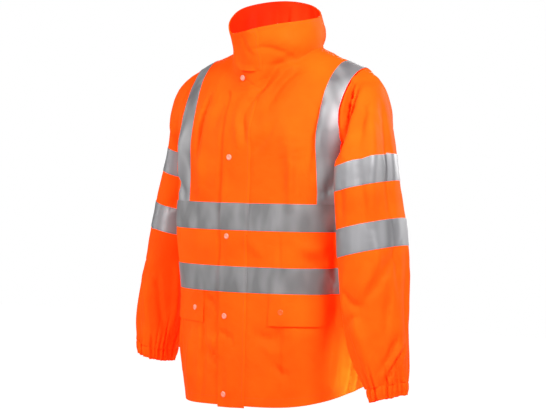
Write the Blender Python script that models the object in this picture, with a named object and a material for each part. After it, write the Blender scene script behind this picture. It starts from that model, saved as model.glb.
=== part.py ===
"""A hi-vis work jacket, worn and hollow: two fronts, back, stand collar, storm flap, set-in sleeves with
elastic cuffs, pocket flaps, snaps and retro-reflective tape, each cut and sewn piece its own solid.

Metres, +Z up. The wearer faces -Y and the wearer's left is +X. The origin is the middle of the neck
opening, level with the two neck points, where the jacket rests on its wearer."""

import math

import bmesh
import bpy
import numpy as np
from mathutils import Vector


def table(columns, *rows):
    """A short table as one array for each named column."""
    return dict(zip(columns.split(), np.array(rows, float).T))


# Cloth and seams
CLOTH = 0.0012
FLAP_CLOTH = 0.0015
COLLAR_CLOTH = 0.0030
TAPE = 0.0010
SEAM_GAP = 0.0003
LAYER_GAP = 0.0004
OVERLAY_TRIM = 0.0002
SHARP_DEGREES = 50

# Body: heights are below the neck points
HEM_Z = -0.738
# The hem rises on the wearer's left: 0 is centre front, 90 the left side, 180 the back
HEM_RISE = table(
    "direction rise",
    (-180, 0.020),
    (-120, 0.002),
    (-60, -0.003),
    (0, 0.000),
    (30, 0.003),
    (54, 0.014),
    (73, 0.029),
    (94, 0.045),
    (130, 0.042),
    (180, 0.020),
)
ARMPIT_Z = -0.225
ROUNDNESS = 2.3
TORSO = table(
    "z half_width front back",
    (-0.745, 0.212, 0.152, 0.152),
    (-0.630, 0.221, 0.149, 0.152),
    (-0.504, 0.227, 0.145, 0.153),
    (-0.380, 0.244, 0.140, 0.156),
    (-0.300, 0.238, 0.134, 0.153),
    (-0.225, 0.226, 0.130, 0.150),
)
RIDGE_Y = 0.012
CHEST_RISE, CHEST_ROLL = 2.2, 1.8
# The chest is flat as far as its armholes: how far each front corner stands forward of the rounder form
CHEST_CORNER = table(
    "level left right",
    (0.80, 0.000, 0.000),
    (0.92, 0.012, 0.012),
    (1.02, 0.024, 0.022),
    (1.20, 0.026, 0.012),
    (1.40, 0.020, 0.004),
    (1.70, 0.009, 0.000),
    (2.00, 0.000, 0.000),
)
CORNER_START, CORNER_END = (30, 56), (68, 90)
SHOULDER = table(
    "x left right",
    (0.000, 0.020, 0.020),
    (0.060, 0.010, 0.010),
    (0.101, 0.000, 0.000),
    (0.135, -0.016, -0.012),
    (0.170, -0.029, -0.024),
    (0.212, -0.042, -0.041),
    (0.240, -0.052, -0.052),
)
ARMHOLE = table(
    "rise x",
    (0.00, 0.2260),
    (0.10, 0.2120),
    (0.25, 0.2040),
    (0.50, 0.2030),
    (0.75, 0.2060),
    (1.00, 0.2110),
)
ARMHOLE_ROWS = 13
NECK_HALF = 0.101
NECK_FRONT_Z = -0.083
NECK_BACK_Z = -0.004
FOLD_BLEND = 0.3

# Tape: 50 mm wide, two bands round the body, one brace over each shoulder, two bands on each sleeve
TAPE_WIDTH = 0.050
UPPER_BAND_Z = -0.3490
LOWER_BAND_Z = -0.4780
BRACE_TOP = 0.161
BRACE_SEAM_MARGIN = 0.0020
BRACE_SEAM_LEVEL = 1.25

# Where each front's pieces begin, as distances from the centre front: the storm flap covers the zip from
# its stitched edge on the wearer's left, and the jacket sits turned a little to the wearer's right
FRONTS = {
    "left": {
        "side": 1,
        "storm": 0.015,
        "pocket": 0.073,
        "pocket_snap": 0.099,
        "brace": 0.168,
        "brace_out": 0.2090,
    },
    "right": {
        "side": -1,
        "storm": 0.051,
        "pocket": 0.096,
        "pocket_snap": 0.126,
        "brace": 0.156,
        "brace_out": 0.1990,
    },
}
BACK_BRACE, BACK_BRACE_OUT = 0.162, 0.2025
STORM_DROP = 0.004
POCKET_FLAP_DROP = 0.062

# Columns of the panels' grids
COLUMN_WIDTH = 0.027
BRACE_COLUMNS = 3
SIDE_COLUMNS = 3
BACK_STOPS = (0.0, 0.033, 0.066, NECK_HALF, 0.119, 0.141, BACK_BRACE)

# Snaps
SNAP_RADIUS, SNAP_HEIGHT, SNAP_SIDES = 0.0060, 0.0022, 10
STORM_SNAPS = ((-0.0300, -0.062), (-0.0355, -0.226), (-0.0350, -0.389), (-0.0360, -0.554), (-0.0355, -0.716))
POCKET_SNAP_Z = -0.5410

# Collar: round its rim from the centre front by the wearer's left
RIM_RADIUS = 0.099
RIM_Y = -0.016
RIM = table(
    "turn z",
    (0, 0.036),
    (30, 0.047),
    (60, 0.0535),
    (90, 0.0615),
    (120, 0.0690),
    (150, 0.0865),
    (180, 0.1005),
    (210, 0.1045),
    (240, 0.0985),
    (270, 0.0815),
    (300, 0.0510),
    (330, 0.0290),
    (360, 0.0360),
)
COLLAR_SWELL, COLLAR_SWELL_TURN = 0.006, 125
COLLAR_SHARES = (0.0, 0.30, 0.50, 0.70, 0.87, 1.0)

# Sleeves: sections of the tube below the armpit, x counted outward from the body's middle
LEFT_SLEEVE = table(
    "z x y out fwd",
    (-0.230, 0.274, -0.094, 0.048, 0.071),
    (-0.334, 0.283, -0.092, 0.053, 0.074),
    (-0.411, 0.288, -0.089, 0.056, 0.076),
    (-0.553, 0.298, -0.090, 0.055, 0.070),
    (-0.640, 0.315, -0.092, 0.046, 0.058),
    (-0.675, 0.325, -0.092, 0.039, 0.046),
    (-0.706, 0.329, -0.092, 0.038, 0.042),
)
RIGHT_SLEEVE = table(
    "z x y out fwd",
    (-0.230, 0.277, 0.080, 0.048, 0.074),
    (-0.325, 0.302, 0.080, 0.053, 0.078),
    (-0.423, 0.304, 0.052, 0.054, 0.078),
    (-0.525, 0.308, 0.021, 0.054, 0.077),
    (-0.600, 0.311, 0.001, 0.050, 0.068),
    (-0.640, 0.313, -0.019, 0.040, 0.049),
    (-0.668, 0.313, -0.022, 0.038, 0.046),
)
SLEEVES = {
    "left": {
        "side": 1,
        "sections": LEFT_SLEEVE,
        "turn": 20,
        "lift": 0.24,
        "end": -0.680,
        "pull": 0.55,
        "bands": {"upper": -0.2550, "lower": -0.3850},
    },
    "right": {
        "side": -1,
        "sections": RIGHT_SLEEVE,
        "turn": -12,
        "lift": 0.26,
        "end": -0.637,
        "pull": 1.05,
        "bands": {"upper": -0.2440, "lower": -0.3650},
    },
}
SLEEVE_GIRTH_RADIUS = 0.07
CAP_ROWS = 6
CAP_DROOP, CAP_DROOP_UNDER = 0.25, 0.40
PUCKERS, PUCKER_DEPTH, PUCKER_RISE = 8, 0.0030, 0.085
CUFF_HEIGHT, CUFF_ROWS, CUFF_COLUMNS = 0.025, 2, 60
GATHERS, GATHER_DEPTH = 20, 0.0016

# The largest folds, as lines across the body from (x0, z0) to (x1, z1): a trough is negative
BODY_FOLDS = table(
    "face x0 z0 x1 z1 width depth",
    (1, 0.085, -0.045, 0.010, -0.150, 0.014, -0.0060),
    (1, 0.100, -0.060, 0.040, -0.170, 0.018, 0.0050),
    (1, -0.070, -0.092, 0.070, -0.088, 0.020, -0.0100),
    (1, -0.150, -0.110, -0.165, -0.300, 0.016, -0.0050),
    (1, 0.105, -0.200, 0.110, -0.330, 0.026, 0.0050),
    (1, 0.055, -0.620, 0.060, -0.738, 0.022, 0.0040),
    (1, -0.120, -0.640, -0.130, -0.738, 0.024, 0.0050),
    (1, 0.160, -0.600, 0.175, -0.738, 0.022, -0.0060),
    (-1, -0.110, -0.140, -0.070, -0.420, 0.026, -0.0060),
    (-1, 0.110, -0.140, 0.070, -0.420, 0.026, -0.0060),
    (-1, -0.060, -0.520, -0.065, -0.738, 0.026, 0.0060),
    (-1, 0.075, -0.500, 0.080, -0.738, 0.026, 0.0060),
    (-1, 0.000, -0.560, 0.005, -0.738, 0.024, -0.0050),
    (-1, 0.165, -0.560, 0.170, -0.738, 0.022, -0.0060),
    (-1, -0.160, -0.560, -0.165, -0.738, 0.022, -0.0060),
)
# Folds of a sleeve, from direction and height to direction and height: 0 points outward, 90 to the front
SLEEVE_FOLDS = table(
    "a0 z0 a1 z1 width depth",
    (35, -0.060, 120, -0.240, 0.011, -0.0070),
    (75, -0.090, 130, -0.215, 0.010, -0.0060),
    (-40, -0.080, -110, -0.230, 0.014, -0.0060),
    (120, -0.470, 60, -0.620, 0.018, -0.0050),
    (20, -0.440, 0, -0.600, 0.020, 0.0040),
    (-90, -0.430, -140, -0.560, 0.018, -0.0050),
)

MATERIALS = {
    "orange": ((1.0, 0.13, 0.008), 0.55, 0.0),
    "tape": ((0.42, 0.42, 0.43), 0.35, 0.3),
    "snap": ((1.0, 0.33, 0.16), 0.30, 0.0),
}


def hermite(t, start, start_slope, end, end_slope):
    """A cubic from start to end with the given slopes."""
    return (
        (2 * t**3 - 3 * t**2 + 1) * start
        + (t**3 - 2 * t**2 + t) * start_slope
        + (3 * t**2 - 2 * t**3) * end
        + (t**3 - t**2) * end_slope
    )


def along(rows, key, column, at):
    """A column of a table read smoothly at any value of its key."""
    x, y = rows[key], rows[column]
    if x[0] > x[-1]:
        x, y = x[::-1], y[::-1]
    slopes = np.gradient(y, x)
    i = np.clip(np.searchsorted(x, at) - 1, 0, len(x) - 2)
    span = x[i + 1] - x[i]
    t = np.clip((at - x[i]) / span, 0, 1)
    return hermite(t, y[i], slopes[i] * span, y[i + 1], slopes[i + 1] * span)


def ease(start, end, at):
    """0 before start, 1 after end, and smooth between."""
    t = np.clip((at - start) / (end - start), 0, 1)
    return t * t * (3 - 2 * t)


def unit(vectors):
    return vectors / np.maximum(np.linalg.norm(vectors, axis=-1, keepdims=True), 1e-12)


def fold_height(u, v, folds, u0, v0, u1, v1):
    """The height of a set of folds at (u, v): each is a soft ridge or trough along its own line."""
    height = np.zeros_like(u)
    for i in range(len(folds["depth"])):
        start = np.array((folds[u0][i], folds[v0][i]))
        line = np.array((folds[u1][i], folds[v1][i])) - start
        across_u, across_v = u - start[0], v - start[1]
        share = np.clip((across_u * line[0] + across_v * line[1]) / (line @ line), 0, 1)
        distance = np.hypot(across_u - share * line[0], across_v - share * line[1])
        height += folds["depth"][i] * np.exp(-((distance / folds["width"][i]) ** 2))
    return height


# The body's surface. direction: 0 centre front, 90 side seam, 180 centre back, negative to the wearer's
# right. level: 0 at the hem, 1 at the armpit, 2 on the shoulder line.


def body_height(direction, level):
    """The height of a level below the armpit. The hem's rise has died out at the lower band."""
    left = np.clip(1 - level / level_of(LOWER_BAND_Z - TAPE_WIDTH / 2), 0, 1)
    rise = along(HEM_RISE, "direction", "rise", direction) * left**2
    return HEM_Z + (ARMPIT_Z - HEM_Z) * np.clip(level, 0, 1) + rise


def body_form(direction, level):
    """A point of the body's surface before its folds."""
    direction, level = np.broadcast_arrays(np.asarray(direction, float), np.asarray(level, float))
    turn = np.radians(direction)
    across = np.sign(np.sin(turn)) * np.abs(np.sin(turn)) ** (2 / ROUNDNESS)
    ahead = np.sign(np.cos(turn)) * np.abs(np.cos(turn)) ** (2 / ROUNDNESS)
    z = body_height(direction, level)
    depth = np.where(ahead > 0, along(TORSO, "z", "front", z), along(TORSO, "z", "back", z))
    x = along(TORSO, "z", "half_width", z) * across
    roll = np.radians(90 * np.clip(level - 1, 0, 1))
    rise = np.sin(roll) ** (2 / CHEST_RISE)
    keep = np.maximum(np.cos(roll), 0) ** (2 / CHEST_ROLL)
    left, right = (along(SHOULDER, "x", side, np.abs(x)) for side in ("left", "right"))
    shoulder = np.where(x > 0, left, right)
    z = z + rise * (shoulder - ARMPIT_Z)
    corner = ease(*CORNER_START, np.abs(direction)) * (1 - ease(*CORNER_END, np.abs(direction)))
    left, right = (along(CHEST_CORNER, "level", side, level) for side in ("left", "right"))
    y = RIDGE_Y * rise**2 - depth * keep * ahead - corner * np.where(x > 0, left, right)
    return np.stack((x, y, z), axis=-1)


def body_normal(direction, level):
    """The outward normal of the body's form."""
    step = 0.02
    level = np.clip(level, step, 2 - step)
    across = body_form(direction + 1, level) - body_form(direction - 1, level)
    upward = body_form(direction, level + step / 2) - body_form(direction, level - step / 2)
    return unit(np.cross(across, upward))


def body_surface(direction, level):
    """Points and outward normals of the folded cloth."""
    points, normals = body_form(direction, level), body_normal(direction, level)
    for face in (1, -1):
        chosen = BODY_FOLDS["face"] == face
        folds = {column: values[chosen] for column, values in BODY_FOLDS.items()}
        height = fold_height(points[..., 0], points[..., 2], folds, "x0", "z0", "x1", "z1")
        share = ease(-FOLD_BLEND, FOLD_BLEND, face * np.cos(np.radians(direction)) * np.ones_like(height))
        points = points + normals * (height * share)[..., None]
    return points, normals


def direction_of(x, level, back=False):
    """The direction in which the form at this level lies x from the body's middle."""
    half = along(TORSO, "z", "half_width", HEM_Z + (ARMPIT_Z - HEM_Z) * np.clip(level, 0, 1))
    turn = np.degrees(np.arcsin(np.clip(x / half, 0, 1) ** (ROUNDNESS / 2)))
    return 180 - turn if back else turn


def level_of(z):
    """The level of a height on the centre front below the armpit."""
    return (z - HEM_Z) / (ARMPIT_Z - HEM_Z)


def lower_levels():
    """Rows below the armpit: the hem, the edges of the pocket flap and of both bands, and rows between."""
    half = TAPE_WIDTH / 2
    edges = (
        (HEM_Z, 3),
        (LOWER_BAND_Z - half - POCKET_FLAP_DROP, 2),
        (LOWER_BAND_Z - half, 2),
        (LOWER_BAND_Z + half, 2),
        (UPPER_BAND_Z - half, 2),
        (UPPER_BAND_Z + half, 2),
    )
    stops = [z for z, _ in edges] + [ARMPIT_Z]
    rows = []
    for (start, count), end in zip(edges, stops[1:]):
        rows.extend(np.linspace(start, end, count, endpoint=False))
    return level_of(np.array(rows + [ARMPIT_Z]))


def armhole_direction(level, back):
    """Where the armhole's edge lies on the body at a level above the armpit."""
    return direction_of(along(ARMHOLE, "rise", "x", level - 1), level, back)


def armhole_levels(back):
    """Levels above the armpit, spaced evenly along the armhole's edge."""
    dense = 1 + np.linspace(0, 1, 600) ** 2
    edge = body_form(armhole_direction(dense, back), dense)
    length = np.concatenate(([0], np.cumsum(np.linalg.norm(np.diff(edge, axis=0), axis=1))))
    return np.interp(np.linspace(0, length[-1], ARMHOLE_ROWS + 1), length, dense)


def neck_level(z, back_sign):
    """The level at which the body's middle line reaches this height."""
    dense = np.linspace(1, 2, 2000)
    middle = body_form(0.0 if back_sign > 0 else 180.0, dense)
    return float(np.interp(z, middle[:, 2], dense))


def brace_edges(level, start, end):
    """The two edges of a brace, start and end at the band, as distances from the body's middle."""
    seam = along(ARMHOLE, "rise", "x", np.clip(level - 1, 0, 1)) - BRACE_SEAM_MARGIN
    inner = start + (BRACE_TOP - start) * ease(1, 2, level)
    return inner, end + (seam - end) * ease(1, BRACE_SEAM_LEVEL, level)


def front_stops(spec):
    """A front's columns from the centre front to the brace, and where both flaps begin among them."""
    edges = (0.0, spec["storm"], spec["pocket"], spec["brace"])
    spans = [max(1, round((end - start) / COLUMN_WIDTH)) for start, end in zip(edges, edges[1:])]
    stops = zip(edges, edges[1:], spans)
    rows = [np.linspace(start, end, count, endpoint=False) for start, end, count in stops]
    return np.concatenate((*rows, edges[-1:])), spans[0], spans[0] + spans[1]


def spread_columns(inner, stops, brace, level, outer_direction, back):
    """Directions of one row's columns: body middle to brace, across it, and on to the outer edge."""
    brace_in, brace_out = brace_edges(level, *brace)
    shares = np.array(stops) / stops[-1]
    over_brace = np.linspace(brace_in, brace_out, BRACE_COLUMNS + 1)[1:]
    x = np.concatenate((inner + (brace_in - inner) * shares, over_brace))
    directions = direction_of(x, level, back)
    tail = np.linspace(directions[-1], outer_direction, SIDE_COLUMNS + 1)[1:]
    return np.concatenate((directions, tail))


def front_grid(spec):
    """Points and normals of one front, rows from hem to shoulder, columns from centre front outward."""
    upper = armhole_levels(False)
    neck = neck_level(NECK_FRONT_Z, 1)
    upper[np.argmin(np.abs(upper - neck))] = neck
    levels = np.concatenate((lower_levels(), upper[1:]))
    rows = []
    for level in levels:
        outer = 90.0 if level <= 1 else armhole_direction(np.array(level), False)
        left = max(0.0, 1 - ((2 - level) / (2 - neck)) ** 2) if level > neck else 0.0
        inner, brace = NECK_HALF * math.sqrt(left), (spec["brace"], spec["brace_out"])
        rows.append(spread_columns(inner, front_stops(spec)[0], brace, level, outer, False))
    neck_row = int(np.argmin(np.abs(levels - neck)))
    points, normals = body_surface(spec["side"] * np.array(rows), levels[:, None])
    points[: neck_row + 1, 0, 0] = 0.0
    return points, normals, levels, neck_row


def back_grid():
    """Points and normals of the back, rows from hem to shoulder and neck, columns from right to left."""
    levels = np.concatenate((lower_levels(), armhole_levels(True)[1:]))
    neck = neck_level(NECK_BACK_Z, -1)
    rows, row_levels = [], []
    for level in levels:
        outer = 90.0 if level <= 1 else armhole_direction(np.array(level), True)
        half = spread_columns(0.0, BACK_STOPS, (BACK_BRACE, BACK_BRACE_OUT), level, outer, True)
        x = np.concatenate((BACK_STOPS, np.full(len(half) - len(BACK_STOPS), NECK_HALF)))
        drop = (2 - neck) * np.sqrt(np.clip(1 - (x / NECK_HALF) ** 2, 0, 1))
        own = np.where(level > 1, 1 + (level - 1) * (1 - drop), level)
        rows.append(np.concatenate((-half[:0:-1], half)))
        row_levels.append(np.concatenate((own[:0:-1], own)))
    points, normals = body_surface(np.array(rows), np.array(row_levels))
    return points, normals, levels


def trimmed(points, edges, amount):
    """The grid with the named edges drawn in along the cloth, for a seam or a tape's edge."""
    points = points.copy()
    for edge in edges:
        line, inside = {
            "bottom": (np.s_[0, :], np.s_[1, :]),
            "top": (np.s_[-1, :], np.s_[-2, :]),
            "inner": (np.s_[:, 0], np.s_[:, 1]),
            "outer": (np.s_[:, -1], np.s_[:, -2]),
        }[edge]
        points[line] += unit(points[inside] - points[line]) * amount
    return points


def diagonals(points):
    """Which diagonal splits each quad of a panel: the one that runs up towards the body's middle, so that a
    panel and what lies on it bend along the same lines. True is the one from the quad's first corner."""
    spread = np.abs(points[..., 0]) - np.abs(points[..., 1])
    outward = spread[:-1, :-1] + spread[1:, :-1] > spread[:-1, 1:] + spread[1:, 1:]
    z = points[..., 2]
    upward = z[1:, :-1] + z[1:, 1:] > z[:-1, :-1] + z[:-1, 1:]
    return upward == outward


def wall(name, points, normals, thickness, material, start=0.0, closed=False):
    """A closed wall of cloth on a grid of points: an inner skin, an outer skin and the rims between."""
    rows, columns = points.shape[:2]
    skins = [points + normals * start, points + normals * (start + thickness)]
    vertices = np.concatenate([skin.reshape(-1, 3) for skin in skins])
    count = rows * columns
    spans = columns if closed else columns - 1
    rising = np.ones((rows - 1, spans), bool) if closed else diagonals(points)

    def corner(row, column, skin):
        return skin * count + row * columns + column % columns

    def rim(start, end, flip):
        """A face across the thickness between two neighbouring grid points."""
        face = (corner(*start, 0), corner(*end, 0), corner(*end, 1), corner(*start, 1))
        return face[::-1] if flip else face

    faces = []
    for row in range(rows - 1):
        for column in range(spans):
            for skin in (0, 1):
                a, b = corner(row, column, skin), corner(row, column + 1, skin)
                c, d = corner(row + 1, column + 1, skin), corner(row + 1, column, skin)
                halves = [(a, b, c), (a, c, d)] if rising[row, column] else [(a, b, d), (b, c, d)]
                faces += halves if skin else [half[::-1] for half in halves]
    for row, flip in ((0, False), (rows - 1, True)):
        faces += [rim((row, column), (row, column + 1), flip) for column in range(spans)]
    if not closed:
        for column, flip in ((0, True), (columns - 1, False)):
            faces += [rim((row, column), (row + 1, column), flip) for row in range(rows - 1)]
    mesh = bpy.data.meshes.new(name)
    mesh.from_pydata(vertices.tolist(), [], faces)
    place(name, mesh, material)


def place(name, mesh, material):
    """Adds a closed mesh to the scene with its faces pointing out."""
    shape = bmesh.new()
    shape.from_mesh(mesh)
    bmesh.ops.recalc_face_normals(shape, faces=shape.faces[:])
    if shape.calc_volume(signed=True) < 0:
        bmesh.ops.reverse_faces(shape, faces=shape.faces[:])
    shape.to_mesh(mesh)
    shape.free()
    mesh.materials.append(finish(material))
    mesh.shade_smooth()
    mesh.set_sharp_from_angle(angle=math.radians(SHARP_DEGREES))
    made = bpy.data.objects.new(name, mesh)
    bpy.context.scene.collection.objects.link(made)
    return made


def finish(name):
    """The Principled material of that name."""
    found = bpy.data.materials.get(name)
    if found:
        return found
    colour, roughness, metallic = MATERIALS[name]
    made = bpy.data.materials.new(name)
    made.use_nodes = True
    shader = made.node_tree.nodes["Principled BSDF"]
    shader.inputs["Base Color"].default_value = (*colour, 1.0)
    shader.inputs["Roughness"].default_value = roughness
    shader.inputs["Metallic"].default_value = metallic
    return made


def overlay(name, points, normals, rows, columns, thickness, material, lift=CLOTH):
    """A piece lying on a panel: part of the panel's own grid, moved out."""
    part = np.s_[rows[0] : rows[1] + 1, columns[0] : columns[1] + 1]
    inside = trimmed(points[part], ("bottom", "top", "inner", "outer"), OVERLAY_TRIM)
    wall(name, inside, normals[part], thickness, material, start=lift + LAYER_GAP)


def neck_ring(fronts, neck_row, back):
    """The neck's edge from centre front, round the wearer's left and the back, to centre front again."""
    middle = back[0].shape[1] // 2
    reach = BACK_STOPS.index(NECK_HALF)
    rings = []
    for part in (0, 1):
        sides = []
        for name, spec in FRONTS.items():
            storm = front_stops(spec)[1]
            edge, row = fronts[name][part][neck_row:, 0], fronts[name][0][neck_row, : storm + 1, 0]
            shares = row[1:] / fronts[name][0][neck_row + 1, 0, 0]
            start = edge[0] + (edge[1] - edge[0]) * shares[:, None]
            sides.append(np.concatenate((edge[:1], start, edge[1:])))
        behind = back[part][-1, middle - reach + 1 : middle + reach][::-1]
        rings.append(np.concatenate((sides[0], behind, sides[1][::-1])))
    return rings


def collar_grid(fronts, neck_row, back):
    """Points and normals of the collar, rows from the neck seam to the rim."""
    base, seam_normals = neck_ring(fronts, neck_row, back)
    length = np.concatenate(([0], np.cumsum(np.linalg.norm(np.diff(base, axis=0), axis=1))))
    turn = 2 * math.pi * length / length[-1]
    rim = np.stack(
        (
            RIM_RADIUS * np.sin(turn),
            RIM_Y - RIM_RADIUS * np.cos(turn),
            along(RIM, "turn", "z", np.degrees(turn)),
        ),
        axis=-1,
    )
    outward = np.stack((np.sin(turn), -np.cos(turn), np.zeros_like(turn)), axis=-1)
    over_panel = (CLOTH + SEAM_GAP) * np.maximum(seam_normals[:, 2:], 0) * np.array((0.0, 0.0, 1.0))
    base = base + unit(rim - base) * 2 * SEAM_GAP + over_panel
    rows = []
    for share in COLLAR_SHARES:
        swell = COLLAR_SWELL * math.sin(math.pi * share) * np.cos(turn - math.radians(COLLAR_SWELL_TURN))
        rows.append(base + (rim - base) * share + outward * swell[:, None])
    points, normals = np.array(rows), np.array([outward] * len(rows))
    points[:, 0, 0], points[:, -1, 0] = SEAM_GAP / 2, -SEAM_GAP / 2
    return points, normals


def storm_flap_grid(fronts, neck_row, collar):
    """The strip over the centre front, from the hem up the fronts and the collar."""
    strips = []
    for part in (0, 1):
        halves = []
        for name, spec in FRONTS.items():
            storm = front_stops(spec)[1]
            panel = fronts[name][part][: neck_row + 1, : storm + 1]
            stand = collar[part][1:, :: spec["side"]][:, : storm + 1]
            halves.append(np.concatenate((panel, stand)))
        strips.append(np.concatenate((halves[1][:, :0:-1], halves[0]), axis=1))
    strips[0][0, :, 2] -= STORM_DROP
    return strips


def armhole_ring(front, back, side):
    """The armhole's edge as a closed ring: up the front from the armpit, then down the back."""
    first = len(lower_levels()) - 1
    outer = -1 if side > 0 else 0
    rings = []
    for part in (0, 1):
        up = front[part][first:, -1]
        down = back[part][first:, outer][::-1]
        rings.append(np.concatenate((up, down[1:-1])))
    return rings


def sleeve_section(spec, z, directions, wave=0.0):
    """Points and outward directions of one ring of a sleeve, its outer side higher by its lift."""
    section = {name: along(spec["sections"], "z", name, z) for name in ("x", "y", "out", "fwd")}
    turn = np.radians(directions - spec["turn"])
    out, fwd = section["out"], section["fwd"]
    radius = out * fwd / np.hypot(fwd * np.cos(turn), out * np.sin(turn)) + wave
    heading = np.radians(directions)
    outward = np.cos(heading)
    spoke = np.stack((spec["side"] * outward, -np.sin(heading), spec["lift"] * outward), axis=-1)
    centre = np.array((spec["side"] * section["x"], section["y"], z))
    return centre + spoke * radius[:, None], unit(spoke)


def sleeve_heights(spec):
    """Heights of a sleeve's rows below the armpit, with both bands' edges among them."""
    half, bands = TAPE_WIDTH / 2, spec["bands"]
    stops = (
        (bands["upper"] + half, 2),
        (bands["upper"] - half, 2),
        (bands["lower"] + half, 2),
        (bands["lower"] - half, 4),
        (spec["end"] + PUCKER_RISE, 4),
    )
    ends = [z for z, _ in stops[1:]] + [spec["end"]]
    rows = []
    for (start, count), end in zip(stops, ends):
        rows.extend(np.linspace(start, end, count, endpoint=False))
    return np.array(rows + [spec["end"]])


def sleeve_grid(spec, ring, ring_normals):
    """Points and normals of a sleeve, rows from the armhole to the cuff, columns round from the armpit."""
    columns = len(ring)
    directions = 180 - 360 * np.arange(columns) / columns
    heights = sleeve_heights(spec)
    side = spec["side"]
    top, _ = sleeve_section(spec, heights[0], directions)
    below, _ = sleeve_section(spec, heights[1], directions)
    chord = np.linalg.norm(top - ring, axis=1, keepdims=True)
    droop = CAP_DROOP + CAP_DROOP_UNDER * (1 - np.cos(np.radians(directions)))
    start = unit(np.stack((side * np.ones(columns), np.zeros(columns), -droop), axis=-1))
    seam = ring + start * SEAM_GAP
    rows = []
    for share in np.linspace(0, 1, CAP_ROWS + 1)[:-1]:
        rows.append(hermite(share, seam, start * chord * spec["pull"], top, unit(below - top) * chord))
    for z in heights:
        pucker = PUCKER_DEPTH * ease(spec["end"] + PUCKER_RISE, spec["end"], z)
        wave = pucker * np.cos(np.radians(directions) * PUCKERS)
        rows.append(sleeve_section(spec, z, directions, wave)[0])
    points = np.array(rows)
    across = np.roll(points, -1, axis=1) - np.roll(points, 1, axis=1)
    down = np.gradient(points, axis=0)
    normals = unit(np.cross(across, down))
    centre = points.mean(axis=1, keepdims=True)
    if np.sum(normals * (points - centre)) < 0:
        normals = -normals
    round_sleeve = np.radians(np.broadcast_to(directions, points.shape[:2])) * SLEEVE_GIRTH_RADIUS
    folds = dict(SLEEVE_FOLDS)
    for end in ("a0", "a1"):
        folds[end] = np.radians(folds[end]) * SLEEVE_GIRTH_RADIUS
    height = fold_height(round_sleeve, points[..., 2], folds, "a0", "z0", "a1", "z1")
    height[0] = 0
    height[1] /= 2
    points = points + normals * height[..., None]
    normals[0] = ring_normals
    normals[-1] = sleeve_section(spec, spec["end"], directions)[1]
    return points, normals


def cuff_grid(spec):
    """Points and normals of the elastic casing under a sleeve."""
    directions = 360 * np.arange(CUFF_COLUMNS) / CUFF_COLUMNS
    rows, normals = [], []
    start = spec["end"] - 2 * SEAM_GAP
    for z in np.linspace(start, start - CUFF_HEIGHT, CUFF_ROWS + 1):
        wave = GATHER_DEPTH * np.cos(np.radians(directions) * GATHERS)
        section, outward = sleeve_section(spec, z, directions, wave)
        rows.append(section)
        normals.append(outward)
    return np.array(rows), np.array(normals)


def snap(name, panel, normals, x, z):
    """A domed snap cap turned from its profile, its flat back on the flap that lies on this panel."""
    profile = ((0.0, 0.0), (0.94, 0.0), (1.0, 0.2), (1.0, 0.5), (0.78, 0.86), (0.0, 1.0))
    shape = bmesh.new()
    line = [shape.verts.new((r * SNAP_RADIUS, 0.0, h * SNAP_HEIGHT)) for r, h in profile]
    edges = [shape.edges.new(pair) for pair in zip(line, line[1:])]
    bmesh.ops.spin(
        shape,
        geom=line + edges,
        cent=(0, 0, 0),
        axis=(0, 0, 1),
        angle=2 * math.pi,
        steps=SNAP_SIDES,
        use_merge=True,
    )
    bmesh.ops.remove_doubles(shape, verts=shape.verts[:], dist=1e-6)
    mesh = bpy.data.meshes.new(name)
    shape.to_mesh(mesh)
    shape.free()
    made = place(name, mesh, "snap")
    seat, normal = seat_on(panel + normals * (CLOTH + LAYER_GAP + FLAP_CLOTH), x, z)
    made.rotation_mode = "QUATERNION"
    made.rotation_quaternion = Vector(normal.tolist()).to_track_quat("Z", "Y")
    made.location = seat


def on_cloth(skin, x, z):
    """The point of a front skin at (x, z) and the cloth's outward normal there."""
    rising = diagonals(skin)
    for row in range(len(skin) - 1):
        for column in range(skin.shape[1] - 1):
            a, b = skin[row, column], skin[row, column + 1]
            c, d = skin[row + 1, column + 1], skin[row + 1, column]
            halves = ((b, a, c), (d, a, c)) if rising[row, column] else ((a, b, d), (c, b, d))
            for corner, first, second in halves:
                u, v = first - corner, second - corner
                across = u[0] * v[2] - v[0] * u[2]
                p = ((x - corner[0]) * v[2] - (z - corner[2]) * v[0]) / across
                q = ((z - corner[2]) * u[0] - (x - corner[0]) * u[2]) / across
                if min(p, q) >= 0 and p + q <= 1:
                    normal = unit(np.cross(u, v))
                    return corner + u * p + v * q, normal * -math.copysign(1, normal[1])
    raise ValueError(f"no cloth at {x}, {z}")


def seat_on(skin, x, z):
    """Where a snap's back goes, just clear of the cloth all round its rim, and the cloth's normal there."""
    middle, normal = on_cloth(skin, x, z)
    turns = 2 * math.pi * np.arange(SNAP_SIDES) / SNAP_SIDES
    spots = [(x + SNAP_RADIUS * math.cos(t), z + SNAP_RADIUS * math.sin(t)) for t in turns]
    rim = [on_cloth(skin, *spot)[0] for spot in spots]
    highest = max(0.0, *[float((point - middle) @ normal) for point in rim])
    return middle + normal * (highest + SEAM_GAP), normal


def build_body():
    fronts = {}
    for name, spec in FRONTS.items():
        *fronts[name], levels, neck_row = front_grid(spec)
    back = back_grid()[:2]
    for name, (points, normals) in fronts.items():
        shape = trimmed(points, ("top", "outer"), SEAM_GAP / 2)
        shape[: neck_row + 1, 0, 0] = SEAM_GAP / 2 * FRONTS[name]["side"]
        wall(f"{name}_front", shape, normals, CLOTH, "orange")
    wall("back", trimmed(back[0], ("inner", "outer", "top"), SEAM_GAP / 2), back[1], CLOTH, "orange")
    return fronts, back, levels, neck_row


def row_at(levels, z):
    """The row that lies at this height on the centre front."""
    return int(np.argmin(np.abs(levels - level_of(z))))


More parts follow.
